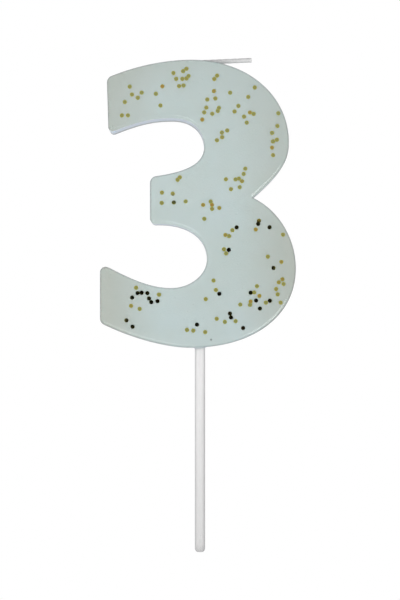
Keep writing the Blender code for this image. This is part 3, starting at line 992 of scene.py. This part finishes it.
def make_stick(material):
    """The plastic stick, with its rounded foot."""
    profile = []
    for step in range(STICK_FOOT_STEPS + 1):
        angle = math.radians(90 * step / STICK_FOOT_STEPS)
        radius = STICK_FOOT_FLAT + (STICK_RADIUS - STICK_FOOT_FLAT) * math.sin(angle)
        profile.append((radius, STICK_FOOT_HEIGHT * (1 - math.cos(angle))))
    z = STICK_FOOT_HEIGHT
    while z < STICK_LENGTH - STICK_STEP:
        z += STICK_STEP
        uneven = STICK_UNEVENNESS * noise.noise(Vector((0, 0, z * STICK_WAVES)))
        profile.append((STICK_RADIUS * (1 + uneven), z))
    profile.append((STICK_RADIUS - STICK_TOP_TAPER, STICK_LENGTH))
    verts = []
    for radius, z in profile:
        for side in range(STICK_SIDES):
            angle = math.tau * side / STICK_SIDES
            verts.append(Vector((radius * math.cos(angle), radius * math.sin(angle), z)))
    faces = tube_faces(len(profile), STICK_SIDES)
    for hub_height, rim, flipped in ((0, 0, True), (STICK_LENGTH, len(verts) - STICK_SIDES, False)):
        faces += fan_faces(len(verts), rim, STICK_SIDES, flipped)
        verts.append(Vector((0, 0, hub_height)))
    stick = mesh_object("plastic_stick", [v * MM for v in verts], faces, material, 50)
    hand_over(stick, "white_plastic", "stick")


# ---------------------------------------------------------------- the studio


def flat_panel(name, centre, half_across, half_along, material):
    """A flat rectangle of the studio, which isn't part of the candle."""
    corners = [
        -half_across - half_along,
        half_across - half_along,
        half_across + half_along,
        half_along - half_across,
    ]
    mesh = bpy.data.meshes.new(name)
    mesh.from_pydata(corners, [], [(0, 1, 2, 3)])
    mesh.materials.append(material)
    panel = bpy.data.objects.new(name, mesh)
    panel.location = centre
    bpy.context.scene.collection.objects.link(panel)
    return panel


def make_floor():
    """A plain white light table that the camera sees as pure white."""
    material, tree, _ = node_material("white_floor")
    tree.nodes.clear()
    output = add_node(tree, "ShaderNodeOutputMaterial")
    path = add_node(tree, "ShaderNodeLightPath")
    brightness = remap(tree, path.outputs["Is Camera Ray"], 0, 1, FLOOR_BRIGHTNESS, 1)
    glow = add_node(tree, "ShaderNodeEmission")
    tree.links.new(brightness, glow.inputs["Strength"])
    tree.links.new(glow.outputs[0], output.inputs["Surface"])
    across = Vector((FLOOR_HALF_WIDTH, 0, 0))
    along = Vector((0, FLOOR_HALF_WIDTH, 0))
    floor = flat_panel("floor", Vector((0, 0, -FLOOR_DROP)), across, along, material)
    floor.visible_glossy = False


def make_dark_card():
    """The dark camera that flat sequins mirror; only reflections see it."""
    material, _, shader = node_material("black_card")
    shader.inputs["Base Color"].default_value = CARD_BLACK
    shader.inputs["Roughness"].default_value = 1.0
    shader.inputs["Specular IOR Level"].default_value = 0.0
    centre = Vector((0, COAT_FRONT - VIEW_DISTANCE - CARD_BEHIND, VIEW_HEIGHT + CARD_RISE))
    across = Vector((CARD_HALF_WIDTH, 0, 0))
    up = Vector((0, 0, CARD_HALF_HEIGHT))
    card = flat_panel("black_card", centre, across, up, material)
    card.visible_camera = False
    card.visible_diffuse = False
    card.visible_shadow = False
    card.visible_volume_scatter = False


def make_light(name, place_at, aim_at, size, watts):
    """A square soft light that reflections don't show."""
    data = bpy.data.lights.new(name, "AREA")
    data.shape = "SQUARE"
    data.size = size
    data.energy = watts
    light = bpy.data.objects.new(name, data)
    light.location = place_at
    light.rotation_euler = (Vector(aim_at) - Vector(place_at)).to_track_quat("-Z", "Y").to_euler()
    light.visible_camera = False
    light.visible_glossy = False
    bpy.context.scene.collection.objects.link(light)


def brighter_towards(tree, direction, towards, from_cos, to_cos, strength):
    """A brightness that rises from nothing to a strength as the view turns towards a direction."""
    product = add_node(tree, "ShaderNodeVectorMath", operation="DOT_PRODUCT")
    tree.links.new(direction, product.inputs[0])
    product.inputs[1].default_value = Vector(towards).normalized()
    return remap(tree, product.outputs["Value"], from_cos, to_cos, 0, strength)


def make_world():
    """White to the camera; to everything else a grey room with a paler backdrop and two low soft boxes."""
    world = bpy.data.worlds.new("studio")
    bpy.context.scene.world = world
    world.use_nodes = True
    tree = world.node_tree
    tree.nodes.clear()
    output = add_node(tree, "ShaderNodeOutputWorld")
    path = add_node(tree, "ShaderNodeLightPath")
    seen = add_node(tree, "ShaderNodeBackground", Strength=1.0)
    seen.inputs["Color"].default_value = WHITE
    direction = add_node(tree, "ShaderNodeTexCoord").outputs["Generated"]
    brightness = brighter_towards(tree, direction, (0, 1, 0), -0.2, 0.8, BACKDROP_GLOW)
    for towards, strength in SOFT_BOXES:
        box = brighter_towards(tree, direction, towards, *SOFT_BOX_EDGE, strength)
        brightness = add(tree, brightness, box)
    brightness = remap(tree, brightness, 0, 10, ROOM_BRIGHTNESS, ROOM_BRIGHTNESS + 10)
    room = add_node(tree, "ShaderNodeBackground")
    room.inputs["Color"].default_value = WHITE
    tree.links.new(brightness, room.inputs["Strength"])
    mix = add_node(tree, "ShaderNodeMixShader")
    tree.links.new(path.outputs["Is Camera Ray"], mix.inputs[0])
    tree.links.new(room.outputs[0], mix.inputs[1])
    tree.links.new(seen.outputs[0], mix.inputs[2])
    tree.links.new(mix.outputs[0], output.inputs["Surface"])


def make_camera():
    """The camera, straight at the numeral's front."""
    data = bpy.data.cameras.new("camera")
    data.sensor_width = SENSOR
    data.lens = SENSOR * VIEW_DISTANCE / VIEW_FRAME_HEIGHT
    data.clip_start = 0.01
    camera = bpy.data.objects.new("camera", data)
    front_edge = COAT_FRONT + EDGE_DEPTH * MM
    camera.location = (0, front_edge - VIEW_DISTANCE, VIEW_HEIGHT)
    camera.rotation_euler = (math.radians(90), 0, 0)
    bpy.context.scene.collection.objects.link(camera)
    bpy.context.scene.camera = camera


def main():
    """Build the candle round the frame, then the studio round the candle."""
    make_wax(wax_material())
    make_coat(coat_material())
    make_sequins(foil_material())
    cotton = wick_material()
    make_wick(cotton)
    dress_wick_core(cotton)
    make_stick(stick_material())
    make_floor()
    make_dark_card()
    for light in LIGHTS:
        make_light(*light)
    make_world()
    make_camera()
    bpy.context.scene.view_settings.view_transform = "Standard"


main()
